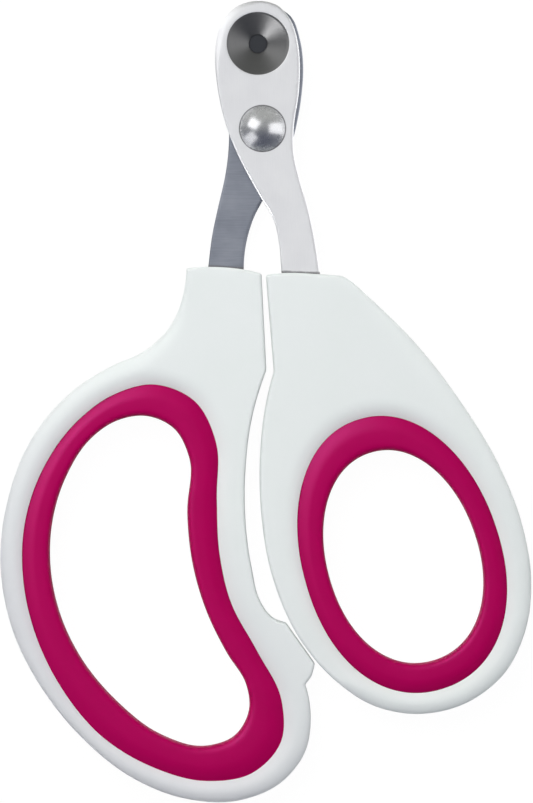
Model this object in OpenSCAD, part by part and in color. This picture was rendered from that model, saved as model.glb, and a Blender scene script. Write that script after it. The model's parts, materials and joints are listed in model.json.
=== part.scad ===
// Scissor nail clipper for cats and small dogs: a die plate with a conical nail hole, a shear
// blade that sweeps behind it, a domed rivet and two moulded handles with soft grip rings.
// It lies on its back: +Y points from the bows to the blades and +Z out of the domed face.

/* [Overall] */
// Length from the lowest bow to the tip of the head
overall_length = 132; // [120:1:150]
// Thickness of both handles
handle_t = 9; // [8:0.5:12]

/* [Blades] */
// Thickness of the die plate in front
front_t = 2.5; // [2.2:0.1:3]
// Thickness of the shear blade behind it
rear_t = 2; // [1.6:0.1:2.4]
// Diameter of the hole that the nail goes through
nail_hole_d = 3; // [2:0.5:4]
// Diameter of the nail cone at its mouth
cone_mouth_d = 10.3; // [9:0.1:10.6]
// Height of the straight cutting land under the cone
land_h = 0.4; // [0.3:0.1:0.8]
// Running gap between the two blades
blade_gap = 0.05; // [0.02:0.01:0.1]

/* [Pivot] */
// Diameter of the rivet's domed head
dome_d = 7.6; // [6.5:0.1:8]
// Height of the domed head
dome_h = 2; // [1.5:0.1:2.4]
// Diameter of the rivet's shank
shank_d = 4; // [3:0.1:4.5]
// Radial clearance between the shank and the shear blade
shank_clearance = 0.05; // [0.02:0.01:0.1]
// Outer diameter of the washer under the rivet's tail
washer_d = 7; // [6:0.1:8]
// Thickness of that washer
washer_t = 0.5; // [0.3:0.1:0.6]
// Diameter of the upset tail
tail_d = 5.6; // [5:0.1:6]
// Height of the upset tail
tail_h = 0.9; // [0.6:0.1:1]

/* [Grips] */
// How far the handle's face dips where it meets a grip ring
dip_depth = 0.5; // [0.3:0.1:0.8]
// Width of that dip, outside the grip ring
dip_w = 0.8; // [0.4:0.1:0.9]
// How far the crest of a grip ring lies below the handle's face
crest_drop = 0.15; // [0:0.05:0.4]
// Where the crest is, from 0 at the handle to 1 at the finger hole
crest_at = 0.4; // [0.3:0.05:0.6]

/* [Hidden] */
$fn = 96;

nominal_length = 131.8;
k = overall_length / nominal_length;
spacing = 1.5 * k;      // distance between neighbouring points of an outline
edge_steps = 4;         // facets across a rounded edge
seam_step = 0.05;       // the grip's edge lies this far below the handle's dip
tail_chamfer = 0.3;
grind_w = 2.2;          // width of the ground bevel along the cutting edge
grind_h = 1.6;          // how much of the blade's thickness the bevel takes
rear_low = -blade_gap - rear_t;
washer_low = rear_low - blade_gap - washer_t;

// ---- curves ------------------------------------------------------------------------------

// Slope of a smooth curve at b, for the points a, b and c in order.
function slope(a, b, c) =
    let (back = norm(b - a), ahead = norm(c - b))
    ((c - b) / ahead * back + (b - a) / back * ahead) / (back + ahead);

// Cubic from p to q, leaving along m and arriving along n, without q itself.
function span(p, m, q, n) =
    let (d = norm(q - p), steps = max(1, round(d / spacing)))
    [for (i = [0:steps - 1]) let (u = i / steps, v = 1 - u)
        p * (1 + 2 * u) * v * v + m * d * u * v * v + q * u * u * (3 - 2 * u) - n * d * u * u * v];

// Smooth open curve through points, without its last point. Two points make a straight line.
function curve(points) =
    let (
        last = len(points) - 1,
        inner = [for (i = [1:1:last - 1]) slope(points[i - 1], points[i], points[i + 1])],
        chord = points[1] - points[0],
        first_slope = last < 2 ? chord / norm(chord) : 2 * chord / norm(chord) - inner[0],
        end_chord = points[last] - points[last - 1],
        last_slope = last < 2 ? first_slope : 2 * end_chord / norm(end_chord) - inner[last - 2],
        slopes = concat([first_slope], inner, [last_slope])
    )
    [for (i = [0:last - 1]) each span(points[i], slopes[i], points[i + 1], slopes[i + 1])];

// Smooth closed curve through points, with a fixed number of steps between two of them.
function ring(points, steps = 5) =
    let (
        n = len(points),
        slopes = [for (i = [0:n - 1])
            slope(points[(i + n - 1) % n], points[i], points[(i + 1) % n])]
    )
    [for (i = [0:n - 1]) let (p = points[i], q = points[(i + 1) % n], d = norm(q - p))
        for (j = [0:steps - 1]) let (u = j / steps, v = 1 - u)
            p * (1 + 2 * u) * v * v + slopes[i] * d * u * v * v
            + q * u * u * (3 - 2 * u) - slopes[(i + 1) % n] * d * u * u * v];

// Closed outline from stretches that meet at corners: each is a list of points and starts
// at its corner, and runs on to the next one's.
function outline(stretches) =
    [for (i = [0:len(stretches) - 1])
        each curve(concat(stretches[i], [stretches[(i + 1) % len(stretches)][0]]))];

// Egg-shaped oval: a superellipse, tilted, and a little wider towards its lower end.
function egg(centre, half_length, half_width, tilt, taper, power, count) =
    [for (i = [0:count - 1]) let (
        t = 360 * i / count,
        x = half_width * sign(cos(t)) * pow(abs(cos(t)), 2 / power) * (1 - taper * sin(t)),
        y = half_length * sign(sin(t)) * pow(abs(sin(t)), 2 / power))
        centre + [x * cos(tilt) - y * sin(tilt), x * sin(tilt) + y * cos(tilt)]];

// Outline points, and the edge radii that some of them hold, at the clipper's own size.
function scaled(points) = points * k;
function scaled_all(stretches) = [for (s = stretches) scaled(s)];

// Outward direction at each point of a closed outline that runs anticlockwise, longer at a
// corner, so that an offset outline keeps its distance.
function outward(points) =
    let (n = len(points))
    [for (i = [0:n - 1]) let (
        before = points[i] - points[(i + n - 1) % n],
        after = points[(i + 1) % n] - points[i],
        a = [before[1], -before[0]] / norm([before[0], before[1]]),
        b = [after[1], -after[0]] / norm([after[0], after[1]]))
        (a + b) / (1 + a * b)];

// ---- outlines, in the pivot's frame --------------------------------------------------------

// Handle outlines hold [x, y, radius of the edge there] and run anticlockwise.
neck_r = 0.5;           // edge radius at the necks and where the handles face each other
bow_r = 1.4;            // edge radius around the bows

right_outline = outline(scaled_all([
    [[0.6, -24.1, neck_r]],
    [[1.9, -40, neck_r], [0.6, -45.2, 0.8], [-0.3, -52.5, 1.2], [-0.2, -63, 1.3],
     [1.6, -73.5, 1.4], [6.3, -84.2, bow_r], [11.9, -90.7, bow_r], [18.2, -94.9, bow_r],
     [25.7, -96.3, bow_r], [33.5, -94.5, bow_r], [39.8, -89.6, bow_r], [43.3, -82.4, bow_r],
     [44.2, -74.4, bow_r], [43, -66.3, bow_r], [39, -55.6, bow_r], [32.9, -45.4, 1.2],
     [25.4, -35.6, 1], [17.2, -27.5, 0.7], [14.6, -25.2, neck_r]],
    [[13.2, -24.3, neck_r], [9.5, -24, neck_r], [3.3, -23.8, neck_r]]
]));

left_outline = outline(scaled_all([
    [[-12.5, -23, neck_r], [-13.2, -28, 0.7], [-15.4, -32.9, 1], [-19.2, -36.5, 1.2],
     [-25, -39.2, bow_r], [-31.6, -43.5, bow_r], [-38.2, -51.5, bow_r], [-42, -61.5, bow_r],
     [-43.1, -71.5, bow_r], [-41.2, -82.2, bow_r], [-36.2, -92.2, bow_r],
     [-29.4, -100.5, bow_r], [-21.4, -106.8, bow_r], [-12.3, -110.3, bow_r],
     [-3.8, -110.5, bow_r], [3, -107.6, bow_r], [7.1, -102.3, bow_r], [7.9, -96.5, 1.2]],
    [[7, -91.5, neck_r], [8.1, -90, neck_r]],
    [[8.6, -88.1, neck_r]],
    [[3.8, -81.3, neck_r], [1.6, -80.5, neck_r], [-0.3, -78, 0.8], [-1.8, -72.4, 1.2],
     [-2.9, -63.4, 1.3], [-2.8, -55.5, 1.2], [-1.8, -47.8, 0.8]],
    [[0.6, -39.8, neck_r]],
    [[-0.2, -23.9, neck_r], [-2.7, -23.3, neck_r], [-9.5, -22.8, neck_r]]
]));

ring_count = 100;
right_ring = egg([22.7, -70] * k, 23.2 * k, 16.3 * k, 17.4, 0.044, 2.12, ring_count);
right_hole = egg([23.05, -70.45] * k, 17.9 * k, 12.5 * k, 17.2, 0.035, 2.1, ring_count);

// The left ring and hole hold matching points.
left_ring = ring(scaled([
    [-18, -42.1], [-24.5, -43.8], [-31, -48.7], [-36.2, -56.2], [-39.1, -65], [-39.3, -74.6],
    [-37, -84.1], [-32.6, -92.7], [-26.5, -99.9], [-18.1, -105], [-9.4, -107.3],
    [-1.5, -105.9], [3, -101], [3.1, -93.9], [-0.9, -85.9], [-5.2, -77.9], [-7.1, -69.6],
    [-7.5, -60.6], [-7.6, -51.8], [-11.2, -44.8]]));
left_hole = ring(scaled([
    [-19, -47.3], [-24.1, -48.1], [-28.4, -51.1], [-32.3, -57.1], [-34.6, -64.4],
    [-34.9, -72.8], [-33.1, -80.7], [-29.7, -87.5], [-24.1, -94.2], [-16.9, -99.7],
    [-9.7, -101.7], [-4.5, -99.9], [-2.2, -95.6], [-2.7, -91.4], [-5.8, -86.4], [-9.2, -79.5],
    [-11.5, -71.7], [-12.4, -63], [-12, -54.4], [-14.6, -49.3]]));

// Both blades are flat plates that run from the head to a tang inside a handle.
nail_axis = [-0.75, 14] * k;
front_outline = outline(scaled_all([
    [[9.4, -23.3], [8.6, -18], [7.6, -13.4], [6.2, -8.6], [5.2, -4], [5.2, 0.8], [5.9, 5.3],
     [6.15, 9.7], [5.75, 14.4], [4.6, 17.9], [2.4, 20.3], [-0.75, 21], [-4, 20.2],
     [-6.6, 17.7], [-7.65, 14], [-7.5, 7.5], [-6.4, 2], [-4.9, -2.4], [-2.5, -7.4],
     [0, -11.8], [1.7, -14.6], [2.7, -18.6], [3.1, -23.3]],
    [[5.2, -41]],
    [[7, -42.5]],
    [[9.8, -42.5]],
    [[11.4, -41]]
]));
rear_outline = outline(scaled_all([
    [[-3.1, -23.3], [-2.6, -18.4], [-1.3, -14.3], [0.5, -11], [3, -6.4], [4.8, -2.4],
     [5.8, 1.6], [6.5, 6.2], [6.7, 10.5], [6.1, 15], [4.6, 18.6]],
    [[2.4, 20], [0, 20.1]],
    [[-3.4, 18.6], [-3, 14.4], [-3.6, 10], [-4.9, 5.8]],
    [[-5.6, 2], [-5.6, -3.4], [-6.2, -8], [-7.2, -12.4], [-8.3, -17.6], [-9, -23.3]],
    [[-11, -40]],
    [[-9.6, -41.5]],
    [[-7, -41.5]],
    [[-5.2, -40]]
]));
// The ground cutting edge of the shear blade, from its tip down.
cutting_edge = curve(scaled([[-3.4, 18.6], [-3, 14.4], [-3.6, 10], [-4.9, 5.8]]));

tang_hole_d = 2.6;
front_tang_hole = [7.8, -35] * k;
rear_tang_hole = [-7.7, -34] * k;

// ---- frame ---------------------------------------------------------------------------------

function lows(points, axis) = min([for (p = points) p[axis]]);
function highs(points, axis) = max([for (p = points) p[axis]]);
footprint_centre = [
    (lows(left_outline, 0) + highs(right_outline, 0)) / 2,
    (lows(left_outline, 1) + highs(front_outline, 1)) / 2];

// Moves a sub-part from the pivot's frame to the row frame, with the handles' backs at z = 0.
module place() {
    translate([-footprint_centre[0], -footprint_centre[1], handle_t / 2]) children();
}

// ---- shapes --------------------------------------------------------------------------------

// Two triangles for each cell between neighbouring layers of count points. wrap joins the
// last layer to the first.
function skin(layers, count, wrap = false) =
    [for (a = [0:layers - (wrap ? 1 : 2)]) let (b = (a + 1) % layers)
        for (i = [0:count - 1]) let (j = (i + 1) % count)
            each [[a * count + i, b * count + i, b * count + j],
                  [a * count + i, b * count + j, a * count + j]]];

// Solid between stacked outlines of equal length, from the lowest to the highest.
module stack(layers) {
    count = len(layers[0]);
    top = (len(layers) - 1) * count;
    polyhedron([for (layer = layers) each layer], concat(
        [[for (i = [0:count - 1]) i]],
        [[for (i = [count - 1:-1:0]) top + i]],
        skin(len(layers), count)));
}

// An outline moved outwards by a distance, at height z.
function layer_at(points, z, grow = 0) =
    let (out = outward(points))
    [for (i = [0:len(points) - 1])
        [points[i][0] + out[i][0] * grow, points[i][1] + out[i][1] * grow, z]];

// Plate of even thickness whose edge is rounded by each outline point's own radius.
module soft_plate(points, t) {
    out = outward(points);
    quarter = [for (i = [0:edge_steps]) 90 * i / edge_steps];
    angles = concat([for (i = [edge_steps:-1:0]) -quarter[i]], quarter);
    stack([for (level = [0:len(angles) - 1]) [for (i = [0:len(points) - 1]) let (
        r = points[i][2],
        inset = r * (1 - cos(angles[level])),
        wall = (level > edge_steps ? 1 : -1) * (t / 2 - r))
        [points[i][0] - out[i][0] * inset, points[i][1] - out[i][1] * inset,
         wall + r * sin(angles[level])]]]);
}

// What a grip ring takes out of a handle: its outline, with a shallow dip around both mouths.
module grip_pocket(points) {
    waist = handle_t / 2 - dip_depth;
    mouth = handle_t / 2 + 1;
    flare = dip_w * (mouth - waist) / dip_depth;
    stack([layer_at(points, -mouth, flare), layer_at(points, -waist),
           layer_at(points, waist), layer_at(points, mouth, flare)]);
}

// A handle with the pocket for its grip. A resize by nothing makes it one mesh.
module handle_body(points, pocket) {
    resize([0, 0, 0]) difference() {
        soft_plate(points, handle_t);
        grip_pocket(pocket);
    }
}

// Soft ring between a handle's pocket and the finger hole, with a bead-shaped section.
module grip_ring(outer, hole) {
    count = len(outer);
    shoulder = handle_t / 2 - dip_depth - seam_step;
    crest = handle_t / 2 - crest_drop;
    rise = [for (a = [0:30:60]) [crest_at * (1 - cos(a)), shoulder + (crest - shoulder) * sin(a)]];
    bead = [for (a = [90:-18:-90]) [crest_at + (1 - crest_at) * cos(a), crest * sin(a)]];
    section = concat(rise, bead, [for (i = [len(rise) - 1:-1:0]) [rise[i][0], -rise[i][1]]]);
    polyhedron([for (s = section) for (i = [0:count - 1]) let (p = outer[i], q = hole[i])
                   [p[0] + (q[0] - p[0]) * s[0], p[1] + (q[1] - p[1]) * s[0], s[1]]],
               [for (f = skin(len(section), count, true)) [f[0], f[2], f[1]]]);
}

// Flat steel plate between two heights, with its tang hole.
module plate(points, hole_at, low, high) {
    difference() {
        translate([0, 0, low]) linear_extrude(high - low) polygon(points);
        translate([hole_at[0], hole_at[1], low - 1]) cylinder(d = tang_hole_d, h = high - low + 2);
    }
}

// Wedge that grinds the shear blade's back face down to its cutting edge.
module edge_grind() {
    n = len(cutting_edge);
    reach = 1;
    grind_slope = grind_h / grind_w;
    out = [for (i = [0:n - 1]) let (
        d = cutting_edge[min(i + 1, n - 1)] - cutting_edge[max(i - 1, 0)])
        [d[1], -d[0]] / norm(d)];
    section = [[reach, rear_low - 1], [-grind_w - 1 / grind_slope, rear_low - 1],
               [reach, rear_low + grind_h + reach * grind_slope]];
    stack([for (i = [0:n - 1]) [for (s = section)
        [cutting_edge[i][0] + out[i][0] * s[0], cutting_edge[i][1] + out[i][1] * s[0], s[1]]]]);
}

module front_plate() {
    plate(front_outline, front_tang_hole, 0, front_t);
}

module rear_plate() {
    plate(rear_outline, rear_tang_hole, rear_low, -blade_gap);
}

// ---- sub-parts -----------------------------------------------------------------------------

module front_blade() {
    color("gainsboro") place() difference() {
        front_plate();
        translate([0, 0, -1]) cylinder(d = shank_d, h = front_t + 2);
        translate([nail_axis[0], nail_axis[1], 0]) {
            translate([0, 0, -1]) cylinder(d = nail_hole_d, h = front_t + 2);
            translate([0, 0, land_h])
                cylinder(d1 = nail_hole_d, d2 = cone_mouth_d, h = front_t - land_h);
            translate([0, 0, front_t]) cylinder(d = cone_mouth_d, h = 1);
        }
    }
}

module rear_blade() {
    color("dimgray") place() difference() {
        rear_plate();
        translate([0, 0, rear_low - 1])
            cylinder(r = shank_d / 2 + shank_clearance, h = rear_t + 2);
        edge_grind();
    }
}

module pivot_rivet() {
    rim = 0.3;
    cap_h = dome_h - rim;
    cap_r = (dome_d * dome_d / 4 + cap_h * cap_h) / (2 * cap_h);
    color("silver") place() {
        translate([0, 0, washer_low]) cylinder(d = shank_d, h = front_t - washer_low);
        translate([0, 0, front_t]) intersection() {
            cylinder(d = dome_d, h = dome_h);
            translate([0, 0, dome_h - cap_r]) sphere(r = cap_r);
        }
        translate([0, 0, washer_low - tail_h])
            cylinder(d1 = tail_d - 2 * tail_chamfer, d2 = tail_d, h = tail_chamfer);
        translate([0, 0, washer_low - tail_h + tail_chamfer])
            cylinder(d = tail_d, h = tail_h - tail_chamfer);
    }
}

module rivet_washer() {
    color("silver") place() translate([0, 0, washer_low]) difference() {
        cylinder(d = washer_d, h = washer_t);
        translate([0, 0, -1]) cylinder(d = shank_d, h = washer_t + 2);
    }
}

module right_handle() {
    color("whitesmoke") place() difference() {
        handle_body(right_outline, right_ring);
        front_plate();
    }
}

module left_handle() {
    color("whitesmoke") place() difference() {
        handle_body(left_outline, left_ring);
        rear_plate();
    }
}

module right_grip() {
    color("mediumvioletred") place() grip_ring(right_ring, right_hole);
}

module left_grip() {
    color("mediumvioletred") place() grip_ring(left_ring, left_hole);
}

front_blade();
rear_blade();
pivot_rivet();
rivet_washer();
right_handle();
left_handle();
right_grip();
left_grip();
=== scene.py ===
"""The looks of a scissor nail clipper: smooth moulded handles with soft grip rings, a satin die
plate with a turned nail cone, a brushed shear blade behind it and a polished domed rivet.
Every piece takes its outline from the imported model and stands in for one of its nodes.
Outlines, profiles and named sizes are in millimetres, unless a comment says otherwise."""
import json
import math

import bmesh
import bpy
import numpy as np
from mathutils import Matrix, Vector
from mathutils.geometry import delaunay_2d_cdt


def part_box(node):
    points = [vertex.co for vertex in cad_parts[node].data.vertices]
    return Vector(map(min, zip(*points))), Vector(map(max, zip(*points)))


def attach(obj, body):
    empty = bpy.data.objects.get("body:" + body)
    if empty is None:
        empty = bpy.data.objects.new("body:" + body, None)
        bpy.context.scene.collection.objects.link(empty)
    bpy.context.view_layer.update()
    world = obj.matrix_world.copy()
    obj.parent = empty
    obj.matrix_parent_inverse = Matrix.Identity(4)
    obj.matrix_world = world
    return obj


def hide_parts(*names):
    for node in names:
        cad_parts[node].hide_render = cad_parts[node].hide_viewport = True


MM = 0.001
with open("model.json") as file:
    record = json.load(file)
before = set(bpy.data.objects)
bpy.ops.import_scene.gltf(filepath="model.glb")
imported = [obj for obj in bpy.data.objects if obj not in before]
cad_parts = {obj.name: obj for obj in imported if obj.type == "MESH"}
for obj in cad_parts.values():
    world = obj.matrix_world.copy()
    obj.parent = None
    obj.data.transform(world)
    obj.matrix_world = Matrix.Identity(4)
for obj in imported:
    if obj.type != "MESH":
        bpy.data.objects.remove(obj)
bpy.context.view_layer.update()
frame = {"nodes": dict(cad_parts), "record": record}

RECORD = frame["record"]
BODY_OF = {n: body for body, nodes in RECORD["behaviour"]["bodies"].items() for n in nodes}
MOUNT = {m["name"]: m for m in RECORD["mounts"]}

PIVOT = np.array(RECORD["behaviour"]["joints"][0]["pos_m"]) / MM
NAIL = np.array(MOUNT["nail_hole"]["pos_m"]) / MM
NAIL_R = MOUNT["nail_hole"]["dims"]["r_mm"]


def node_box(node):
    """Lowest and highest corner of a node, in millimetres."""
    low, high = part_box(node)
    return np.array(low) / MM, np.array(high) / MM


HANDLE_LOW, HANDLE_HIGH = (corner[2] for corner in node_box("right_handle"))
MIDDLE = (HANDLE_LOW + HANDLE_HIGH) / 2     # height of the handles' middle plane
HALF_T = (HANDLE_HIGH - HANDLE_LOW) / 2     # half their thickness
PLATE_TOP = node_box("front_blade")[1][2]   # the die plate's face
SHEAR_TOP = node_box("rear_blade")[1][2]    # the shear blade's face, against the die plate


# ---- outlines ---------------------------------------------------------------------------------

FINE = 0.1                          # spacing of a loop's points while it is being smoothed
LEAST_STEP = 0.01                   # a faceted loop's points closer together than this are joined
LEAST_TURN = math.radians(0.05)     # a point where the loop turns less than this is dropped
CHUNK = 2000                        # how many points are measured at once

def section(node, z):
    """Loops where a CAD node crosses height z, the largest first. Outer loops run
    anticlockwise and holes clockwise."""
    mesh = frame["nodes"][node].data
    mesh.calc_loop_triangles()
    at = frame["nodes"][node].matrix_world
    corners = np.array([at @ v.co for v in mesh.vertices]) / MM
    steps = {}
    for tri in mesh.loop_triangles:
        p = [tuple(np.round(corners[i], 5)) for i in tri.vertices]
        crossings = []
        for a, b in ((p[0], p[1]), (p[1], p[2]), (p[2], p[0])):
            low, high = sorted((a, b), key=lambda q: (q[2], q))
            if low[2] <= z < high[2]:
                part = (z - low[2]) / (high[2] - low[2])
                crossings.append(tuple(low[k] + (high[k] - low[k]) * part for k in (0, 1)))
        if len(crossings) != 2 or crossings[0] == crossings[1]:
            continue
        normal = np.cross(np.subtract(p[1], p[0]), np.subtract(p[2], p[0]))
        a, b = crossings
        forward = (b[0] - a[0]) * -normal[1] + (b[1] - a[1]) * normal[0]
        steps.setdefault(a if forward > 0 else b, b if forward > 0 else a)
    loops = []
    while steps:
        start, here = next(iter(steps.items()))
        loop = [start]
        del steps[start]
        while here in steps:
            loop.append(here)
            here = steps.pop(here)
        loops.append(np.array(loop))
    return sorted(loops, key=lambda loop: -abs(area(loop)))


def area(loop):
    """A loop's area, negative where the loop runs clockwise."""
    x, y = loop[:, 0], loop[:, 1]
    return float(np.sum(x * np.roll(y, -1) - y * np.roll(x, -1)) / 2)


def turns(loop):
    """How far a loop turns at each of its points, in radians."""
    back = loop - np.roll(loop, 1, 0)
    ahead = np.roll(loop, -1, 0) - loop
    cross = back[:, 0] * ahead[:, 1] - back[:, 1] * ahead[:, 0]
    return np.arctan2(cross, (back * ahead).sum(1))


def spaced(loop, step):
    """The same closed loop with evenly spaced points."""
    closed = np.vstack([loop, loop[:1]])
    along = np.concatenate([[0], np.cumsum(np.linalg.norm(np.diff(closed, axis=0), axis=1))])
    at = np.linspace(0, along[-1], max(8, round(along[-1] / step)), endpoint=False)
    return np.stack([np.interp(at, along, closed[:, k]) for k in (0, 1)], 1)


def smooth_loop(loop, step=0.3, corner=math.radians(17), soften=0.35):
    """A faceted loop as a smooth curve through its points, with corners softened."""
    loop = loop[np.linalg.norm(loop - np.roll(loop, 1, 0), axis=1) > LEAST_STEP]
    loop = loop[np.abs(turns(loop)) > LEAST_TURN]
    sharp = np.abs(turns(loop)) > corner
    ahead = np.roll(loop, -1, 0) - loop
    length = np.linalg.norm(ahead, axis=1)[:, None]
    unit = ahead / length
    before, length_before = np.roll(unit, 1, 0), np.roll(length, 1, 0)
    slope = (unit * length_before + before * length) / (length + length_before)
    points = []
    for i in range(len(loop)):
        j = (i + 1) % len(loop)
        leave = 2 * unit[i] - slope[j] if sharp[i] else slope[i]
        arrive = 2 * unit[i] - slope[i] if sharp[j] else slope[j]
        if sharp[i] and sharp[j]:
            leave = arrive = unit[i]
        for u in np.arange(0, 1, min(0.5, FINE / length[i, 0])):
            v = 1 - u
            points.append(loop[i] * (1 + 2 * u) * v * v + leave * length[i] * u * v * v
                          + loop[j] * u * u * (3 - 2 * u) - arrive * length[i] * u * u * v)
    fine = spaced(np.array(points), FINE)
    return spaced(averaged(fine, soften / FINE), step)


def circle(centre, radius, count, clockwise=False):
    """Evenly spaced points around a circle."""
    angles = np.arange(count) * (2 * math.pi / count) * (-1 if clockwise else 1)
    return np.array(centre[:2]) + radius * np.stack([np.cos(angles), np.sin(angles)], 1)


def outward(loop):
    """Unit vectors that point away from the material, at each point of a loop."""
    along = np.roll(loop, -1, 0) - np.roll(loop, 1, 0)
    along /= np.linalg.norm(along, axis=1)[:, None]
    return np.stack([along[:, 1], -along[:, 0]], 1)


def distance(points, loop):
    """Distance from each point to a closed loop."""
    a, d = loop, np.roll(loop, -1, 0) - loop
    out = np.empty(len(points))
    for i in range(0, len(points), CHUNK):
        p = points[i:i + CHUNK, None] - a[None]
        t = np.clip((p * d).sum(2) / (d * d).sum(1), 0, 1)
        out[i:i + CHUNK] = np.sqrt((((p - t[..., None] * d) ** 2).sum(2)).min(1))
    return out


def nearest_on(points, loop):
    """The nearest place on a closed loop to each point."""
    d = np.roll(loop, -1, 0) - loop
    out = []
    for p in points:
        t = np.clip(((p - loop) * d).sum(1) / (d * d).sum(1), 0, 1)
        q = loop + t[:, None] * d
        out.append(q[((q - p) ** 2).sum(1).argmin()])
    return np.array(out)


def averaged(loop, spread):
    """A closed loop with every point averaged with its neighbours, as far as spread points away."""
    steps = np.arange(len(loop))
    kernel = np.exp(-0.5 * (np.minimum(steps, len(loop) - steps) / spread) ** 2)
    kernel = np.fft.fft(kernel / kernel.sum())
    return np.stack([np.fft.ifft(np.fft.fft(loop[:, k]) * kernel).real for k in (0, 1)], 1)


def inside(points, loops):
    """Which points lie in the material that the loops bound."""
    odd = np.zeros(len(points), bool)
    for loop in loops:
        a, b = loop, np.roll(loop, -1, 0)
        for i in range(0, len(points), CHUNK):
            x, y = points[i:i + CHUNK, :1], points[i:i + CHUNK, 1:]
            spans = (a[:, 1] > y) != (b[:, 1] > y)
            with np.errstate(divide="ignore", invalid="ignore"):
                at = a[:, 0] + (y - a[:, 1]) / (b[:, 1] - a[:, 1]) * (b[:, 0] - a[:, 0])
            odd[i:i + CHUNK] ^= ((spans & (x < at)).sum(1) % 2).astype(bool)
    return odd


def smoothstep(low, high, x):
    """From 0 at low to 1 at high, easing in and out."""
    t = np.clip((x - low) / (high - low), 0, 1)
    return t * t * (3 - 2 * t)


def quarter_round(d, width, drop):
    """How far a surface lies below its face at distance d from an edge with an elliptic
    rounding of this width and drop."""
    t = 1 - np.clip(d / np.maximum(width, 1e-6), 0, 1)
    return drop * (1 - np.sqrt(np.maximum(0, 1 - t * t)))


def soft_bevel(d, width, drop):
    """The same for a ground edge: it curves down gently and ends at a slope, not upright."""
    t = 1 - np.clip(d / np.maximum(width, 1e-6), 0, 1)
    return drop * t * t


def arc_steps(*degrees):
    """Shares of a rounding's width, at these turns of its arc."""
    return [1 - math.cos(math.radians(a)) for a in degrees]


# ---- meshes -----------------------------------------------------------------------------------

SAME_PLACE = 0.0005     # points closer than this are one point
BAND_KEPT = 0.93        # a band's point is kept where it is at least this share of its depth inside


class Solid:
    """Vertices and faces of one closed solid."""

    def __init__(self):
        self.points = []
        self.faces = []

    def add_points(self, xy, z):
        """Adds points at one height, or at one height each. Returns their numbers."""
        first = len(self.points)
        self.points += [(x, y, h) for (x, y), h in zip(xy, np.broadcast_to(z, len(xy)))]
        return list(range(first, len(self.points)))

    def add_cap(self, loops, fill, height, up=True):
        """A surface over the region that the loops bound. Returns each loop's vertices."""
        xy, triangles = triangulated(loops, fill)
        ids = self.add_points(xy, height(xy))
        self.faces += [tuple(ids[i] for i in (t if up else t[::-1])) for t in triangles]
        ends = np.cumsum([0] + [len(loop) for loop in loops])
        return [ids[a:b] for a, b in zip(ends, ends[1:])]

    def add_wall(self, rows):
        """Strips between rows of vertices of equal count, from the upper row to the lower."""
        for upper, lower in zip(rows, rows[1:]):
            for i in range(len(upper)):
                j = (i + 1) % len(upper)
                self.faces.append((lower[i], lower[j], upper[j], upper[i]))

    def build(self, name, sharp=math.radians(40)):
        """Makes the object, in metres. Edges that turn more than sharp stay sharp."""
        mesh = bpy.data.meshes.new(name)
        mesh.from_pydata([tuple(c * MM for c in p) for p in self.points], [], self.faces)
        piece = bpy.data.objects.new(name, mesh)
        bpy.context.scene.collection.objects.link(piece)
        finish_mesh(piece, sharp)
        return piece


def finish_mesh(piece, sharp):
    """Joins doubled points, turns all normals outwards and shades the surface smooth."""
    bm = bmesh.new()
    bm.from_mesh(piece.data)
    bmesh.ops.remove_doubles(bm, verts=bm.verts, dist=SAME_PLACE * MM)
    bmesh.ops.dissolve_degenerate(bm, edges=bm.edges, dist=SAME_PLACE * MM)
    bmesh.ops.recalc_face_normals(bm, faces=bm.faces)
    for face in bm.faces:
        face.smooth = True
    bm.to_mesh(piece.data)
    bm.free()
    piece.data.set_sharp_from_angle(angle=sharp)


def triangulated(loops, fill):
    """Triangles over the region between the loops, using the loops' points, first and in
    order, and the fill points."""
    points = np.vstack([*loops, fill]) if len(fill) else np.vstack(loops)
    edges, first = [], 0
    for loop in loops:
        n = len(loop)
        edges += [(first + i, first + (i + 1) % n) for i in range(n)]
        first += n
    origin = points.mean(0)
    made = delaunay_2d_cdt([Vector(p) for p in points - origin], edges, [], 0, 1e-6, True)
    corners, faces, sources = made[0], made[2], made[3]
    place = {new: olds[0] for new, olds in enumerate(sources) if olds}
    kept = []
    for i in range(len(corners)):
        if i not in place:
            place[i] = len(points) + len(kept)
            kept.append(np.array(corners[i]) + origin)
    xy = np.vstack([points, kept]) if kept else points
    triangles = np.array([[place[i] for i in face] for face in faces])
    centres = xy[triangles].mean(1)
    a, b, c = (xy[triangles[:, k]] for k in range(3))
    twice = (b[:, 0] - a[:, 0]) * (c[:, 1] - a[:, 1]) - (b[:, 1] - a[:, 1]) * (c[:, 0] - a[:, 0])
    good = inside(centres, loops) & (np.abs(twice) > 1e-9)
    triangles[twice < 0] = triangles[twice < 0][:, ::-1]
    return xy, [tuple(int(i) for i in t) for t in triangles[good]]


def bands(loop, depths, loops):
    """Points at set depths inside the material along one of its loops. depths gives one
    distance for each point of the loop, for each band. A band leaves out the points where it
    would fold over itself."""
    found = []
    away = outward(loop)
    for depth in depths:
        p = loop - away * depth[:, None]
        clear = distance(p, loop) > depth * BAND_KEPT
        found.append(p[clear & inside(p, loops)])
    return found


def grid(loops, pitch, clear):
    """Staggered points over a region, clear of its loops."""
    low = np.min([loop.min(0) for loop in loops], 0)
    high = np.max([loop.max(0) for loop in loops], 0)
    rows = []
    for n, y in enumerate(np.arange(low[1], high[1], pitch * math.sqrt(0.75))):
        x = np.arange(low[0] + (n % 2) * pitch / 2, high[0], pitch)
        rows.append(np.stack([x, np.full(len(x), y)], 1))
    points = np.vstack(rows)
    points = points[inside(points, loops)]
    for loop in loops:
        points = points[distance(points, loop) > clear]
    return points


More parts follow.
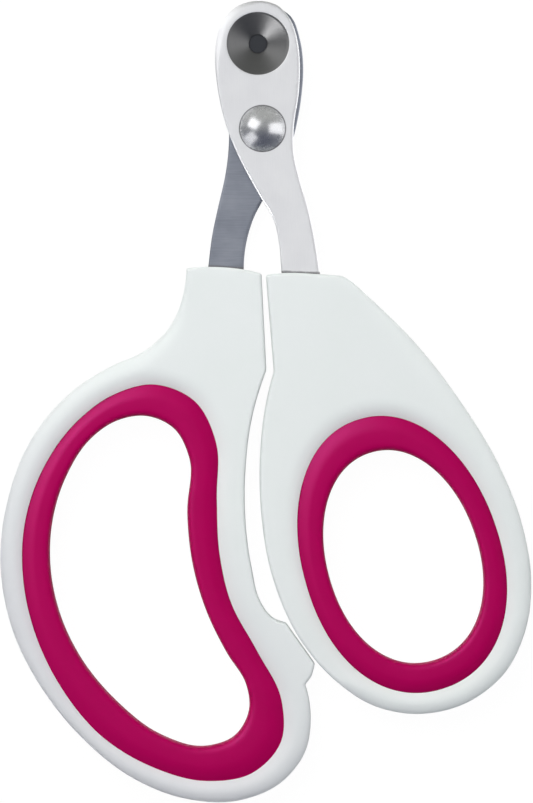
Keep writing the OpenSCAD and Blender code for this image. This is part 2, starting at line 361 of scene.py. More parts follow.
def thinned(groups, spacing):
    """All groups' points, dropping one that is closer than spacing to a point kept before."""
    kept, cells = [], {}
    for group in groups:
        for p in group:
            cell = (int(p[0] // spacing), int(p[1] // spacing))
            near = [q for i in (-1, 0, 1) for j in (-1, 0, 1)
                    for q in cells.get((cell[0] + i, cell[1] + j), [])]
            if all((p[0] - q[0]) ** 2 + (p[1] - q[1]) ** 2 > spacing ** 2 for q in near):
                kept.append(p)
                cells.setdefault(cell, []).append(p)
    return np.array(kept)


def lathe(name, centre, profile, count=160, sharp=math.radians(40)):
    """Turns a profile of (radius, height) about a vertical axis, from the top's centre down to
    the bottom's."""
    solid = Solid()
    rows = []
    for radius, z in profile:
        rows.append(solid.add_points(circle(centre, max(radius, 1e-4), count), z))
    solid.add_wall(rows)
    if profile[0] != profile[-1]:
        solid.faces += [tuple(rows[0]), tuple(rows[-1][::-1])]
    return solid.build(name, sharp)


def stand_for(piece, node):
    """The piece is seen in place of a CAD node, and moves with its body."""
    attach(piece, BODY_OF[node])
    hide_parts(node)


# ---- handles ----------------------------------------------------------------------------------

NECK_ROUND = 0.5            # edge rounding at the neck, the tab and where the handles face each other
BOW_ROUND = (2.9, 1.6)      # width and drop of the fuller rounding around the bows
FULL_APART = (3, 11)        # distance from the other handle over which the rounding grows full
FULL_HEIGHT = (-22, -38)    # and Y from the pivot over which it does
HANDLE_STEPS = arc_steps(14, 26, 38, 50, 62, 76, 90)    # where rows of points cross the rounding
DIP = (2.8, 0.9)            # width and depth of the dip beside a grip ring
DIP_STEPS = (0.3, 0.7, 1.2, 1.8)    # how far from the ring rows of points follow the dip
# Corners of the mould's seam line: height from the middle plane, and how far it stands out.
SEAM = ((0.08, 0), (0.04, 0.035), (-0.04, 0.035), (-0.08, 0))
LOOP_CLEAR = 0.012          # a point inside a face lies at least this far from the face's edges
SECTION_Z = MIDDLE - 2.2    # clear of both tang pockets and of every rounded edge
BLADE_OF = {"left": "rear_blade", "right": "front_blade"}
TANG_FIT = 0.03             # hairline between a tang and its pocket
TANG_BELOW = 20             # the tangs' holes lie farther below the pivot than this
TANG_CUT = 0.3              # how far below a blade's face its tang is measured
TANG_SIDES = 48             # how many points go round the hole in a tang
HANDLE_SHARP = math.radians(50)     # an edge that turns more than this stays sharp

OUTLINES = {}
for side in ("left", "right"):
    wall, pocket = section(side + "_handle", SECTION_Z)[:2]
    OUTLINES[side] = smooth_loop(wall, soften=0.12), smooth_loop(pocket, corner=math.pi)


def fullness(points, side):
    """From 0 at the neck and along the other handle to 1 around the outside of the bows."""
    other = OUTLINES["right" if side == "left" else "left"][0]
    return (smoothstep(*FULL_APART, distance(points, other))
            * smoothstep(*FULL_HEIGHT, points[:, 1] - PIVOT[1]))


def edge_round(points, side):
    """Width and drop of a handle's edge rounding near each point."""
    full = fullness(points, side)
    return [NECK_ROUND + (most - NECK_ROUND) * full for most in BOW_ROUND]


def handle_top(points, side):
    """Height of a handle's face above its middle plane."""
    wall, pocket = OUTLINES[side]
    dip = np.clip(1 - distance(points, pocket) / DIP[0], 0, 1)
    rounded = quarter_round(distance(points, wall), *edge_round(points, side))
    return HALF_T - rounded - DIP[1] * dip ** 2


def handle(side):
    """A moulded handle: two rounded faces, a wall with the mould's seam line, and the pocket that
    its grip ring fills."""
    wall, pocket = OUTLINES[side]
    loops = [wall, pocket]
    width = edge_round(wall, side)[0]
    edge = bands(wall, [width * step for step in HANDLE_STEPS], loops)
    beside = bands(pocket, [np.full(len(pocket), depth) for depth in DIP_STEPS], loops)
    fill = thinned([*edge, *beside, grid(loops, pitch=0.6, clear=0.3)], spacing=0.12)
    fill = fill[np.minimum(distance(fill, wall), distance(fill, pocket)) > LOOP_CLEAR]
    solid = Solid()
    top = solid.add_cap(loops, fill, lambda p: MIDDLE + handle_top(p, side))
    bottom = solid.add_cap(loops, fill, lambda p: MIDDLE - handle_top(p, side), up=False)
    half = handle_top(wall, side) / 2
    levels = [(half, 0), *SEAM, (-half, 0)]
    rows = [solid.add_points(wall + outward(wall) * proud, MIDDLE + z) for z, proud in levels]
    solid.add_wall([top[0], *rows, bottom[0]])
    solid.add_wall([top[1], bottom[1]])
    piece = solid.build(side + "_handle_shell", HANDLE_SHARP)
    cut_tang_pocket(piece, BLADE_OF[side])
    stand_for(piece, side + "_handle")
    return piece


def cut_tang_pocket(piece, blade):
    """Cuts the slot that a blade's tang fills, and leaves the post through the tang's hole."""
    low, high = (corner[2] for corner in node_box(blade))
    outline, hole, hole_r = tang_of(blade)
    grown = outline + outward(outline) * TANG_FIT
    loops = [grown, circle(hole, hole_r - TANG_FIT, TANG_SIDES, clockwise=True)]
    solid = Solid()
    top = solid.add_cap(loops, [], lambda p: np.full(len(p), high + TANG_FIT))
    bottom = solid.add_cap(loops, [], lambda p: np.full(len(p), low - TANG_FIT), up=False)
    for upper, lower in zip(top, bottom):
        solid.add_wall([upper, lower])
    cutter = solid.build(blade + "_cutter")
    modifier = piece.modifiers.new("tang", "BOOLEAN")
    modifier.operation = "DIFFERENCE"
    modifier.solver = "EXACT"
    modifier.object = cutter
    cut = piece.evaluated_get(bpy.context.evaluated_depsgraph_get())
    mesh = bpy.data.meshes.new_from_object(cut)
    piece.modifiers.clear()
    piece.data = mesh
    bpy.data.objects.remove(cutter)
    finish_mesh(piece, HANDLE_SHARP)


def tang_of(blade):
    """A blade's smooth outline, and the centre and radius of the hole in its tang."""
    loops = section(blade, node_box(blade)[1][2] - TANG_CUT)
    for loop in loops[1:]:
        centre = loop.mean(0)
        if centre[1] < PIVOT[1] - TANG_BELOW:
            radius = np.linalg.norm(loop - centre, axis=1).mean()
            return smooth_loop(loops[0], soften=0.25), centre, radius


# ---- grips ------------------------------------------------------------------------------------

GRIP_CREST = 0.12   # how far the crest lies below the handle's face
GRIP_SUNK = 0.12    # how far below the bottom of the dip beside it the ring starts
CREST_AT = 0.5      # where the crest is, from 0 at the handle to 1 at the finger hole
BEAD_POWER = 6.0    # how squarely the bead turns down into the finger hole; 2 is an ellipse


def grip(side):
    """A bead-shaped ring lofted between the pocket and the finger hole."""
    hole = section(side + "_grip", MIDDLE + 0.01)[1]
    hole = smooth_loop(hole, corner=math.pi, soften=0.6)[::-1]
    pocket = OUTLINES[side][1][::-1]
    partner = nearest_on(averaged(nearest_on(hole, pocket), spread=4), pocket)
    shoulder = HALF_T - DIP[1] - GRIP_SUNK
    crest = HALF_T - GRIP_CREST
    rise = np.linspace(0, 1, 9)[:-1]
    across = [(CREST_AT * t, shoulder + (crest - shoulder) * math.sin(t * math.pi / 2)) for t in rise]
    for fall in np.radians(np.linspace(90, -90, 37)):
        bulge = abs(math.cos(fall)) ** (2 / BEAD_POWER)
        lift = math.copysign(abs(math.sin(fall)) ** (2 / BEAD_POWER), fall)
        across.append((CREST_AT + (1 - CREST_AT) * bulge, crest * lift))
    across += [(u, -z) for u, z in across[len(rise) - 1::-1]]
    solid = Solid()
    rows = [solid.add_points(partner + (hole - partner) * u, MIDDLE + z) for u, z in across]
    solid.add_wall([*rows, rows[0]])
    piece = solid.build(side + "_grip_ring", math.radians(60))
    stand_for(piece, side + "_grip")
    return piece


# ---- blades -----------------------------------------------------------------------------------

PLATE_ROUND = (0.3, 0.15)       # width and drop of the softened edge of the die plate
HEAD_ROUND = (1.5, 0.4)         # the same where it is broadest, at the upper left of its head
HEAD_WAY = math.radians(150)    # the way from the nail hole to that place
HEAD_FADE = (2.5, 6.5)          # how far along that way the edge starts to broaden, and is broadest
BLADE_STEPS = arc_steps(18, 36, 54, 72, 90)     # where rows of points cross a softened edge
CONE_SIDES = 180                # how many points go round the nail cone
CONE_LIP = 0.12                 # width of the softened lip around the cone's mouth
RIVET_SIDES = 64                # how many points go round the rivet's hole in a blade
SHEAR_ROUND = (0.25, 0.12)      # width and drop of the shear blade's softened edge
GRIND = (2.2, 1.6)              # width and depth of the bevel ground on its back
GRIND_STEPS = (0.6, 1.1, 1.6, 2.0, 2.12, 2.2, 2.35)     # where rows of points cross the bevel
EDGE_SPAN = (5.8, 18.6)         # how far above the pivot the cutting edge starts and ends
EDGE_LEFT = 0.05                # thickness that the bevel leaves at the cutting edge
RUNNING_FIT = 0.05              # gap between the rivet's shank and the shear blade
BLADE_SHARP = math.radians(32)


def die_plate():
    """The front blade: a plate with a turned cone that ends in the nail hole. Returns it and the
    radius of the cone's mouth."""
    low, high = (corner[2] for corner in node_box("front_blade"))
    outline = smooth_loop(section("front_blade", low + 0.2)[0], soften=0.25)
    mouth_r = cone_mouth(high)
    mouth = circle(NAIL, mouth_r + CONE_LIP, CONE_SIDES, clockwise=True)
    nail_hole = circle(NAIL, NAIL_R, CONE_SIDES, clockwise=True)
    rivet_hole = circle(PIVOT, rivet_radius(), RIVET_SIDES, clockwise=True)
    tang_hole = circle(*tang_of("front_blade")[1:], TANG_SIDES, clockwise=True)
    solid = Solid()
    loops = [outline, mouth, rivet_hole, tang_hole]
    edge = bands(outline, [plate_round(outline)[0] * step for step in BLADE_STEPS], loops)
    fill = thinned([*edge, grid(loops, pitch=0.6, clear=0.35)], spacing=0.1)
    top = solid.add_cap(loops, fill,
                        lambda p: high - soft_bevel(distance(p, outline), *plate_round(p)))
    loops = [outline, nail_hole, rivet_hole, tang_hole]
    fill = thinned([grid(loops, pitch=1.2, clear=0.5)], spacing=0.1)
    bottom = solid.add_cap(loops, fill, lambda p: np.full(len(p), low), up=False)
    for k in (0, 2, 3):
        solid.add_wall([top[k], bottom[k]])
    land_top = low + MOUNT["nail_hole"]["dims"]["length_mm"]
    rows = [solid.add_points(circle(NAIL, r, CONE_SIDES, clockwise=True), z)
            for r, z in cone_profile(mouth_r, high, land_top)]
    solid.add_wall([top[1], *rows, bottom[1]])
    piece = solid.build("die_plate", BLADE_SHARP)
    stand_for(piece, "front_blade")
    return piece, mouth_r


def cone_mouth(high):
    """Radius of the nail cone just under the die plate's face."""
    holes = section("front_blade", high - 0.02)[1:]
    return max(np.linalg.norm(hole - NAIL[:2], axis=1).max() for hole in holes
               if np.linalg.norm(hole.mean(0) - NAIL[:2]) < 1)


def cone_profile(mouth_r, high, land_top):
    """Radius and height down the nail cone: its softened lip, its slope and the top of its land."""
    slope = (high - land_top) / (mouth_r - NAIL_R)
    lip = [(mouth_r + 0.05, high - 0.015), (mouth_r - 0.02, high - 0.07)]
    radii = np.linspace(mouth_r - 0.15, NAIL_R + 0.04, 20)
    straight = [(r, high - slope * (mouth_r - r)) for r in radii]
    return [*lip, *straight, (NAIL_R, land_top - 0.02)]


def plate_round(points):
    """Width and drop of the die plate's edge rounding, broadest at the head's upper left."""
    along = (points - NAIL[:2]) @ (math.cos(HEAD_WAY), math.sin(HEAD_WAY))
    broad = smoothstep(*HEAD_FADE, along)
    return tuple(small + (large - small) * broad for small, large in zip(PLATE_ROUND, HEAD_ROUND))


def rivet_radius():
    """Radius of the rivet's shank, from its section between the blades."""
    shank = section("pivot_rivet", MIDDLE + 0.5)[0]
    return float(np.linalg.norm(shank - PIVOT[:2], axis=1).mean())


def shear_blade():
    """The rear blade: a flat plate whose cutting edge is ground on its back."""
    low, high = (corner[2] for corner in node_box("rear_blade"))
    outline = smooth_loop(section("rear_blade", high - 0.01)[0], soften=0.12)
    running_hole = circle(PIVOT, rivet_radius() + RUNNING_FIT, RIVET_SIDES, clockwise=True)
    tang_hole = circle(*tang_of("rear_blade")[1:], TANG_SIDES, clockwise=True)
    loops = [outline, running_hole, tang_hole]
    width, drop = SHEAR_ROUND
    depths = [*(width * step for step in BLADE_STEPS), *GRIND_STEPS]
    edge = bands(outline, [np.full(len(outline), depth) for depth in depths], loops)
    fill = thinned([*edge, grid(loops, pitch=0.9, clear=0.35)], spacing=0.1)
    cutting = cutting_edge(outline)

    def ground(p):
        """How much of the blade's thickness the bevel takes."""
        return np.clip(GRIND[1] * (1 - distance(p, cutting) / GRIND[0]), 0, None)

    def softened(p):
        """How much the softened edge takes, where the bevel doesn't reach."""
        return soft_bevel(distance(p, outline), width, drop) * (ground(p) <= 0)

    def back(p):
        """Height of the blade's back, kept below the softened edge of its face."""
        return np.minimum(high - drop - EDGE_LEFT, low + softened(p) + ground(p))

    solid = Solid()
    top = solid.add_cap(loops, fill, lambda p: high - softened(p))
    bottom = solid.add_cap(loops, fill, back, up=False)
    for upper, lower in zip(top, bottom):
        solid.add_wall([upper, lower])
    piece = solid.build("shear_blade", BLADE_SHARP)
    stand_for(piece, "rear_blade")
    return piece


def cutting_edge(outline):
    """The part of the shear blade's outline that cuts: above the pivot and left of it."""
    x, y = (outline - PIVOT[:2]).T
    return outline[(y > EDGE_SPAN[0]) & (y < EDGE_SPAN[1]) & (x < 0)]


# ---- rivet ------------------------------------------------------------------------------------

DOME_BALL = 4.5                     # radius of the ball that the rivet's dome is part of
DOME_STEEPEST = math.radians(40)    # slope that the dome keeps from there down to its rim
DOME_CORNER = (0.06, 0.03)          # width and extra drop of the dome's softened lower corner
UNDERCUT = (0.25, 0.06)             # width and height of the gap under the dome's rim
SEATED = 0.005                      # how far the head stays off the die plate's face
TAIL_R = 2.8                        # radius of the upset tail on the back
WASHER_SOFT = 0.08                  # how much the washer's corners are cut back


def rivet():
    """The rivet: a domed head, a shank through both blades, and an upset tail with a dimple."""
    low, high = node_box("pivot_rivet")
    head_r = (high[0] - low[0]) / 2
    shank_r = rivet_radius()
    washer_low = node_box("rivet_washer")[0][2]
    dome = [(DOME_BALL * math.sin(a), high[2] - DOME_BALL * (1 - math.cos(a)))
            for a in np.linspace(0.002, DOME_STEEPEST, 48)]
    ball_r, ball_z = dome[-1]
    for r, extra in ((head_r - DOME_CORNER[0], 0), (head_r, DOME_CORNER[1])):
        dome.append((r, ball_z - (r - ball_r) * math.tan(DOME_STEEPEST) - extra))
    rim = [(head_r, PLATE_TOP + UNDERCUT[1]), (head_r - UNDERCUT[0], PLATE_TOP + SEATED)]
    shank = [(shank_r, PLATE_TOP + SEATED), (shank_r, washer_low)]
    tail = [(TAIL_R - 0.12, washer_low), (TAIL_R, washer_low - 0.12), (TAIL_R - 0.05, washer_low - 0.55),
            (TAIL_R - 0.4, low[2] + 0.08), (TAIL_R - 0.9, low[2])]
    dimple = [(1.1, low[2] + 0.02), (0.7, low[2] + 0.2), (0.001, low[2] + 0.3)]
    piece = lathe("rivet", PIVOT, [*dome, *rim, *shank, *tail, *dimple], sharp=math.radians(38))
    stand_for(piece, "pivot_rivet")
    return piece


def washer():
    """The flat washer under the rivet's tail, with softened corners."""
    low, high = node_box("rivet_washer")
    bottom, top = low[2], high[2]
    outer = (high[0] - low[0]) / 2
    inner = rivet_radius()
    soft = WASHER_SOFT
    profile = [(inner + soft, top), (outer - soft, top), (outer, top - soft), (outer, bottom + soft),
               (outer - soft, bottom), (inner + soft, bottom), (inner, bottom + soft),
               (inner, top - soft), (inner + soft, top)]
    piece = lathe("washer", PIVOT, profile, count=96, sharp=math.radians(50))
    stand_for(piece, "rivet_washer")
    return piece


# ---- materials --------------------------------------------------------------------------------

def add(tree, kind, inputs=None, **settings):
    """A node with its settings and inputs, each a value or another node's output."""
    made = tree.nodes.new("ShaderNode" + kind)
    for key, value in settings.items():
        setattr(made, key, value)
    for key, value in (inputs or {}).items():
        if isinstance(value, bpy.types.NodeSocket):
            tree.links.new(value, made.inputs[key])
        else:
            made.inputs[key].default_value = value
    return made


def start_material(name):
    """A material, its tree, its shader and its coordinates in millimetres."""
    material = bpy.data.materials.new(name)
    material.use_nodes = True
    tree = material.node_tree
    shader = tree.nodes["Principled BSDF"]
    metres = add(tree, "TexCoord").outputs["Object"]
    place = add(tree, "VectorMath", {0: metres, 1: (1 / MM, 1 / MM, 1 / MM)}, operation="MULTIPLY")
    return material, tree, shader, place.outputs["Vector"]


def noise(tree, place, per_mm, detail=3.0, stretch=(1, 1, 1), roughness=0.5):
    """Noise from 0 to 1 with so many cells a millimetre, stretched along an axis."""
    at = add(tree, "VectorMath", {0: place, 1: stretch}, operation="MULTIPLY").outputs["Vector"]
    made = add(tree, "TexNoise", {"Vector": at, "Scale": per_mm, "Detail": detail,
                                  "Roughness": roughness})
    return made.outputs["Fac"]


def between(tree, factor, low, high, from_low=0.25, from_high=0.75):
    """Maps a factor to a number between low and high."""
    made = add(tree, "MapRange", {"Value": factor, "From Min": from_low, "From Max": from_high,
                                  "To Min": low, "To Max": high})
    return made.outputs["Result"]


def blended(tree, factor, first, second):
    """Mixes two colours. Either may be another node's output."""
    made = add(tree, "Mix", data_type="RGBA")
    tree.links.new(factor, made.inputs["Factor"])
    colours = [socket for socket in made.inputs if socket.type == "RGBA"]
    for socket, colour in zip(colours, (first, second)):
        if isinstance(colour, bpy.types.NodeSocket):
            tree.links.new(colour, socket)
        else:
            socket.default_value = (*colour, 1)
    return next(socket for socket in made.outputs if socket.type == "RGBA")


def bump(tree, height, depth_mm, normal=None):
    """Bump of this depth from a height between 0 and 1."""
    inputs = {"Height": height, "Strength": 1.0, "Distance": depth_mm * MM}
    if normal is not None:
        inputs["Normal"] = normal
    return add(tree, "Bump", inputs).outputs["Normal"]


# Painted shade: the handles' white turns greyer along this way, as the light falls off towards the lower
# left.
SHADE_WAY = math.radians(45)     # the way that the handles grow greyer, left of straight down
SHADE_SPAN = (48, 84)            # how far along it from the pivot the grey starts and is full


def white_plastic():
    """Satin moulded plastic with a fine moulded grain: cool white at the necks, and a little
    greyer towards the lower left of the bows: painted shade where the light falls off towards the lower
    left."""
    material, tree, shader, place = start_material("white_plastic")
    way = (-math.sin(SHADE_WAY), -math.cos(SHADE_WAY), 0)
    along = add(tree, "VectorMath", {0: place, 1: way}, operation="DOT_PRODUCT").outputs["Value"]
    start, full = (float(PIVOT @ np.array(way)) + far for far in SHADE_SPAN)
    shade_share = between(tree, along, 0, 1, start, full)
    plain_white = blended(tree, noise(tree, place, 0.12, 2), (0.82, 0.862, 0.842), (0.85, 0.877, 0.872))
    # The greyer tone that the painted shade blends towards.
    shaded_grey = blended(tree, noise(tree, place, 0.3, 4), (0.73, 0.735, 0.755), (0.77, 0.775, 0.795))
    tree.links.new(blended(tree, shade_share, plain_white, shaded_grey), shader.inputs["Base Color"])
    tree.links.new(between(tree, noise(tree, place, 0.7, 4), 0.46, 0.56), shader.inputs["Roughness"])
    grain = bump(tree, noise(tree, place, 2.5, 3), 0.004)
    flow = bump(tree, noise(tree, place, 0.35, 1, (1, 0.3, 1)), 0.006, grain)
    tree.links.new(flow, shader.inputs["Normal"])
    shader.inputs["IOR"].default_value = 1.5
    shader.inputs["Specular IOR Level"].default_value = 0.35
    return material


def soft_rubber():
    """Satin thermoplastic rubber in deep pink, with a fine grain."""
    material, tree, shader, place = start_material("soft_rubber")
    mottle = noise(tree, place, 0.25, 3)
    colour = blended(tree, mottle, (0.375, 0.0, 0.075), (0.415, 0.0, 0.085))
    tree.links.new(colour, shader.inputs["Base Color"])
    tree.links.new(between(tree, noise(tree, place, 1.5, 3), 0.46, 0.56), shader.inputs["Roughness"])
    tree.links.new(bump(tree, noise(tree, place, 6, 2), 0.004), shader.inputs["Normal"])
    shader.inputs["Specular IOR Level"].default_value = 0.08
    shader.inputs["Specular Tint"].default_value = (1.0, 0.2, 0.7, 1)
    return material


# Round patches of painted shade: a centre, how far from it the shade ends and where it is darkest, and
# a colour. One is a painted contact shadow ringing the rivet's head, the other a painted shadow behind the
# nail hole.
# Painted contact shadow around the rivet's head, on the die plate.
RIVET_CONTACT_SHADE = ((PIVOT[0], PIVOT[1], PLATE_TOP), 3.95, 3.82, (0.12, 0.12, 0.125))
# Painted shadow on the shear blade's face, where it shows through the nail hole.
NAIL_HOLE_SHADE = ((NAIL[0], NAIL[1], SHEAR_TOP), 2.0, 1.6, (0.04, 0.042, 0.047))
SHADE_LINE_RAGGED = 0.15             # how far the edge of a painted shade line wanders


def with_shade_patch(tree, place, colour, shade_patch):
    """The colour with a round patch of painted shade, as the two patches above give it."""
    centre, plain_at, dark_at, tint = shade_patch
    arm = add(tree, "VectorMath", {0: place, 1: tuple(map(float, centre))}, operation="SUBTRACT")
    away = add(tree, "VectorMath", {0: arm.outputs["Vector"]}, operation="LENGTH").outputs["Value"]
    return blended(tree, between(tree, away, 0, 1, plain_at, dark_at), colour, tint)


def with_shade_line(tree, place, colour, shade_line):
    """The colour with a ragged band of painted shade. The band is a colour, a way, and how far along it
    the shade starts and is full."""
    tint, way, start, full = shade_line
    reach = add(tree, "VectorMath", {0: place, 1: way}, operation="DOT_PRODUCT").outputs["Value"]
    ragged_by = between(tree, noise(tree, place, 1.2, 3), 0, SHADE_LINE_RAGGED)
    ragged = add(tree, "Math", {0: reach, 1: ragged_by}, operation="ADD").outputs["Value"]
    return blended(tree, between(tree, ragged, 0, 1, start, full), colour, tint)


def brushed(name, dark, light, along, roughness, depth, shade_patch, shade_line):
    """Brushed steel with a round patch and a band of painted shade. along is 'X' or 'Y', the way that its
    brush lines run, and depth is how deep they are."""
    material, tree, shader, place = start_material(name)
    stretch = (0.05, 1, 1) if along == "X" else (1, 0.05, 1)
    lines = noise(tree, place, 5, 4, stretch, 0.65)
    cloud = noise(tree, place, 0.25, 2)
    mixed = add(tree, "Math", {0: lines, 1: cloud}, operation="ADD").outputs["Value"]
    colour = blended(tree, between(tree, mixed, 0, 1, 0.7, 1.3), dark, light)
    colour = with_shade_line(tree, place, with_shade_patch(tree, place, colour, shade_patch), shade_line)
    tree.links.new(colour, shader.inputs["Base Color"])
    tree.links.new(between(tree, lines, *roughness), shader.inputs["Roughness"])
    tree.links.new(bump(tree, lines, depth), shader.inputs["Normal"])
    shader.inputs["Metallic"].default_value = 1.0
    shader.inputs["Anisotropic"].default_value = 0.4
    tangent = add(tree, "CombineXYZ", {along: 1.0})
    tree.links.new(tangent.outputs["Vector"], shader.inputs["Tangent"])
    return material


def turned_steel(centre):
    """Steel turned on a lathe about a vertical axis: fine rings and a fan-shaped gleam."""
    material, tree, shader, place = start_material("turned_steel")
    arm = add(tree, "VectorMath", {0: place, 1: tuple(centre)}, operation="SUBTRACT").outputs["Vector"]
    flat = add(tree, "VectorMath", {0: arm, 1: (1, 1, 0)}, operation="MULTIPLY").outputs["Vector"]
    radius = add(tree, "VectorMath", {0: flat}, operation="LENGTH").outputs["Value"]
    rings = add(tree, "TexNoise", {"W": radius, "Scale": 9.0, "Detail": 3.0, "Roughness": 0.7},
                noise_dimensions="1D").outputs["Fac"]
    # The cone's base colour is kept far darker than the die plate's steel: painted shade for the dark room
    # that the cone mirrors.
    colour = blended(tree, rings, (0.12, 0.12, 0.122), (0.175, 0.175, 0.175))
    tree.links.new(colour, shader.inputs["Base Color"])
    tree.links.new(between(tree, rings, 0.30, 0.40), shader.inputs["Roughness"])
    tree.links.new(bump(tree, rings, 0.004), shader.inputs["Normal"])
    around = add(tree, "VectorMath", {0: (0, 0, 1), 1: flat}, operation="CROSS_PRODUCT").outputs["Vector"]
    tangent = add(tree, "VectorMath", {0: around}, operation="NORMALIZE").outputs["Vector"]
    tree.links.new(tangent, shader.inputs["Tangent"])
    shader.inputs["Metallic"].default_value = 1.0
    shader.inputs["Anisotropic"].default_value = 0.7
    return material


DOME_FOOT_SHADE = (0.3, 0.15)        # heights above the die plate where the painted shade at the dome's foot ends and is full


def polished_steel():
    """Polished steel with faint smudges and hairline marks, and near-black painted shade on all of it lower
    than just above the die plate: the foot of the rivet's dome as its contact shadow, and with it the
    shank, tail and washer.
    """
    material, tree, shader, place = start_material("polished_steel")
    smudge = noise(tree, place, 0.8, 4)
    steel = blended(tree, smudge, (0.66, 0.66, 0.68), (0.74, 0.74, 0.75))
    # Painted shade: the steel turns near black below a set height just above the die plate.
    height = add(tree, "SeparateXYZ", {0: place}).outputs["Z"]
    ends, full = (PLATE_TOP + above for above in DOME_FOOT_SHADE)
    painted_shade = between(tree, height, 0, 1, ends, full)
    tree.links.new(blended(tree, painted_shade, steel, (0.07, 0.07, 0.08)), shader.inputs["Base Color"])
    tree.links.new(between(tree, smudge, 0.24, 0.3), shader.inputs["Roughness"])
    uneven = bump(tree, noise(tree, place, 0.35, 1), 0.07)
    hairlines = bump(tree, noise(tree, place, 6, 1, (0.2, 1, 1)), 0.0003, uneven)
    tree.links.new(hairlines, shader.inputs["Normal"])
    shader.inputs["Metallic"].default_value = 1.0
    return material


def floor_material():
    """A pale matt studio table. The camera sees it mostly as an even white, with faint shadows."""
    material, tree, shader, place = start_material("studio_floor")
    tone = noise(tree, place, 0.01, 2)
    tree.links.new(blended(tree, tone, (0.86, 0.86, 0.86), (0.88, 0.88, 0.88)), shader.inputs["Base Color"])
    shader.inputs["Roughness"].default_value = 0.9
    shader.inputs["Specular IOR Level"].default_value = 0.0
    even = add(tree, "Emission", {"Color": (1, 1, 1, 1), "Strength": 1.02})
    ray = add(tree, "LightPath").outputs["Is Camera Ray"]
    share = add(tree, "Math", {0: ray, 1: EVEN_WHITE}, operation="MULTIPLY").outputs["Value"]
    mix = add(tree, "MixShader", {0: share, 1: shader.outputs[0], 2: even.outputs[0]})
    tree.links.new(mix.outputs[0], tree.nodes["Material Output"].inputs["Surface"])
    return material


def paint(piece, *materials):
    """Gives a piece its materials, the first for every face."""
    for material in materials:
        piece.data.materials.append(material)


# ---- the studio -------------------------------------------------------------------------------

LIT_POINT = Vector((PIVOT[0], PIVOT[1] - 30, MIDDLE)) * MM   # what the lights face, in metres
EVEN_WHITE = 0.96               # how much of the floor's look is even white, without shadows
FLOOR_HALF = 3.0                # half the side of the floor, in metres
FRAME_TALL = 132.495 * MM       # what the frame's height covers at the handles' middle plane
CAMERA_UP = 1.6                 # metres from that plane to the camera
VIEW_SHIFT = (0.66, -44.98)     # from the pivot to the middle of the view


def make_camera():
    """A camera straight above, far enough away that the sides of the handles hardly show."""
    data = bpy.data.cameras.new("camera")
    data.lens = data.sensor_width / 2 / (FRAME_TALL / 2 / CAMERA_UP)
    data.clip_start, data.clip_end = 0.01, 20
    camera = bpy.data.objects.new("camera", data)
    x, y = (PIVOT[k] * MM + VIEW_SHIFT[k] * MM for k in (0, 1))
    camera.location = (x, y, MIDDLE * MM + CAMERA_UP)
    bpy.context.scene.collection.objects.link(camera)
    bpy.context.scene.camera = camera


def softbox(name, azimuth, elevation, away, size, radiance, lights, only=None):
    """A rectangular light that faces the object. Azimuth 0 is +X and 90 is +Y, in degrees, and
    away and size are metres. lights is 'shades' for light that shades surfaces, or 'mirrored' for
    what they reflect. only is a collection that it lights alone."""
    data = bpy.data.lights.new(name, "AREA")
    data.shape = "RECTANGLE"
    data.size, data.size_y = size
    data.energy = radiance * math.pi * size[0] * size[1]
    light = bpy.data.objects.new(name, data)
    a, e = math.radians(azimuth), math.radians(elevation)
    towards = Vector((math.cos(e) * math.cos(a), math.cos(e) * math.sin(a), math.sin(e)))
    light.location = LIT_POINT + towards * away
    light.rotation_mode = "QUATERNION"
    light.rotation_quaternion = towards.to_track_quat("Z", "Y")
    light.visible_camera = False
    light.visible_glossy = lights == "mirrored"
    light.visible_diffuse = lights == "shades"
    light.light_linking.receiver_collection = only
    bpy.context.scene.collection.objects.link(light)


def make_lights(blades, grips):
    """A key light and fills that shade the object, and the windows that it mirrors."""
    softbox("key", 128, 67, 0.55, (0.3, 0.3), 7.6, "shades")
    softbox("left_fill", 180, 9, 0.6, (0.3, 0.15), 4, "shades", grips)
    softbox("right_fill", 0, 8, 0.6, (0.3, 0.15), 2.5, "shades")
    softbox("low_fill", 275, 8, 0.6, (0.3, 0.15), 2.5, "shades")
    softbox("right_window", 3, 31, 0.8, (0.6, 0.95), 1.1, "mirrored")
    softbox("upper_left_window", 148, 45, 0.8, (0.55, 0.7), 1.3, "mirrored")
    softbox("lower_left_window", 217, 27, 0.8, (0.5, 0.7), 0.9, "mirrored")
    softbox("cone_gleam", 223, 30, 0.8, (0.24, 0.28), 8, "mirrored", blades)
    softbox("cone_fill", 285, 30, 0.8, (0.5, 0.4), 0.3, "mirrored", blades)
    softbox("grip_gleam", 138, 40, 0.8, (0.65, 0.65), 36, "mirrored", grips)
    softbox("left_edge", 137, 8, 0.8, (0.9, 0.3), 0.9, "mirrored", blades)
    softbox("right_edge", 10, 8, 0.8, (0.9, 0.3), 1.4, "mirrored", blades)
    softbox("overhead", 90, 89, 1.2, (0.8, 0.8), 0.96, "mirrored", blades)


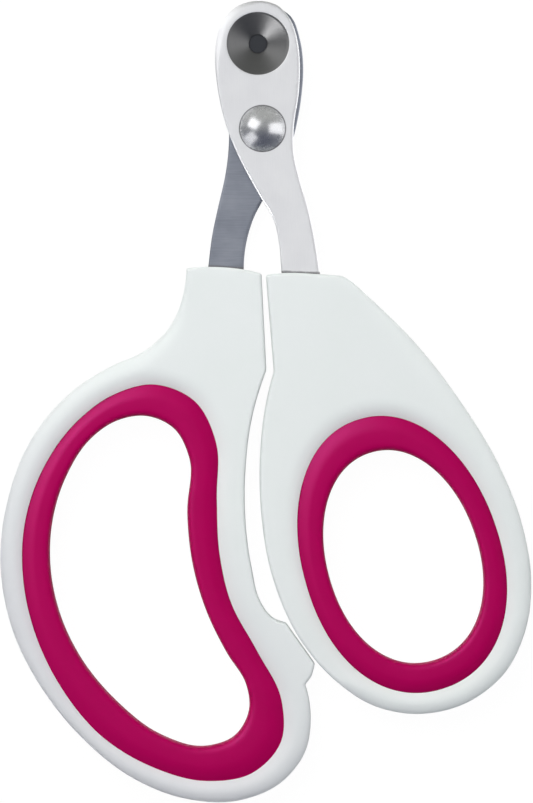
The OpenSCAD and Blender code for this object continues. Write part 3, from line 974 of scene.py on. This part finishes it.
def make_world():
    """The room that the object mirrors, lighter towards the top of the picture, and the even white
    that the camera sees behind the floor."""
    world = bpy.data.worlds.new("studio")
    bpy.context.scene.world = world
    world.use_nodes = True
    tree = world.node_tree
    background = tree.nodes["Background"]
    direction = add(tree, "TexCoord").outputs["Generated"]
    up_picture = add(tree, "SeparateXYZ", {0: direction}).outputs["Y"]
    lightness = between(tree, up_picture, 0, 1, -0.5, 0.8)
    room = blended(tree, lightness, (0.12, 0.13, 0.165), (0.52, 0.53, 0.51))
    tree.links.new(room, background.inputs["Color"])
    seen = add(tree, "Background", {"Color": (0.93, 0.93, 0.93, 1), "Strength": 1.0})
    ray = add(tree, "LightPath").outputs["Is Camera Ray"]
    mix = add(tree, "MixShader", {0: ray, 1: background.outputs[0], 2: seen.outputs[0]})
    tree.links.new(mix.outputs[0], tree.nodes["World Output"].inputs["Surface"])


def make_floor():
    """The flat floor, which isn't part of the object."""
    h = FLOOR_HALF
    mesh = bpy.data.meshes.new("floor")
    mesh.from_pydata([(-h, -h, 0), (h, -h, 0), (h, h, 0), (-h, h, 0)], [], [(0, 1, 2, 3)])
    floor = bpy.data.objects.new("floor", mesh)
    bpy.context.scene.collection.objects.link(floor)
    paint(floor, floor_material())


# ---- the object -------------------------------------------------------------------------------

NECK_NEAR = 1.5             # a blade's sides are measured this near the top of its handle's neck
RIM_BAND = 2                # and the neck's rim is what lies this near its top
NECK_SHADE_SPAN = (0.4, 0.1)     # how far above the rim the painted shade line starts and is full


def neck_entry_shade(side, blade, tint):
    """A thin dark line of painted contact shadow on a blade, where it enters its handle."""
    outline = tang_of(blade)[0]
    wall = OUTLINES[side][0]
    neck_top = wall[:, 1].max()
    shank = outline[np.abs(outline[:, 1] - neck_top) < NECK_NEAR, 0]
    rim = wall[(wall[:, 0] > shank.min()) & (wall[:, 0] < shank.max())]
    rim = rim[rim[:, 1] > neck_top - RIM_BAND]
    tilt, level = np.polyfit(rim[:, 0], rim[:, 1], 1)
    long = math.hypot(tilt, 1)
    start, full = (-level / long - above for above in NECK_SHADE_SPAN)
    return tint, (tilt / long, -1 / long, 0), start, full


def line_cone(plate, mouth_r):
    """Gives the faces of the nail cone the die plate's second material."""
    low, high = (corner[2] for corner in node_box("front_blade"))
    # They lie within the cone's mouth, and between the plate's two flat faces.
    for face in plate.data.polygons:
        centre = np.array(face.center) / MM
        near = np.linalg.norm(centre[:2] - NAIL[:2]) < mouth_r + 0.02
        if near and low + 0.05 < centre[2] < high - 0.01:
            face.material_index = 1


def make_object():
    """Makes and paints the eight pieces. Returns the blades and the grips as collections."""
    white, pink = white_plastic(), soft_rubber()
    rings = []
    for side in ("left", "right"):
        paint(handle(side), white)
        rings.append(grip(side))
        paint(rings[-1], pink)
    plate, mouth_r = die_plate()
    # Painted contact shadow where the die plate enters its handle.
    painted_shade = neck_entry_shade("right", "front_blade", (0.24, 0.24, 0.245))
    steel = brushed("die_steel", (0.70, 0.70, 0.715), (0.75, 0.75, 0.76), "Y", (0.34, 0.42), 0.0012,
                    RIVET_CONTACT_SHADE, painted_shade)
    paint(plate, steel, turned_steel(NAIL))
    line_cone(plate, mouth_r)
    shear = shear_blade()
    # Painted contact shadow where the shear blade enters its handle.
    painted_shade = neck_entry_shade("left", "rear_blade", (0.17, 0.17, 0.18))
    paint(shear, brushed("shear_steel", (0.18, 0.193, 0.228), (0.245, 0.26, 0.297), "X", (0.3, 0.4),
                         0.003, NAIL_HOLE_SHADE, painted_shade))
    polished = polished_steel()
    paint(rivet(), polished)
    paint(washer(), polished)
    return gathered("blades", (plate, shear)), gathered("grips", rings)


def gathered(name, pieces):
    """A collection of pieces that lights can be limited to."""
    collection = bpy.data.collections.new(name)
    for piece in pieces:
        collection.objects.link(piece)
    return collection


make_camera()
make_floor()
make_lights(*make_object())
make_world()
bpy.context.scene.view_settings.view_transform = "Standard"
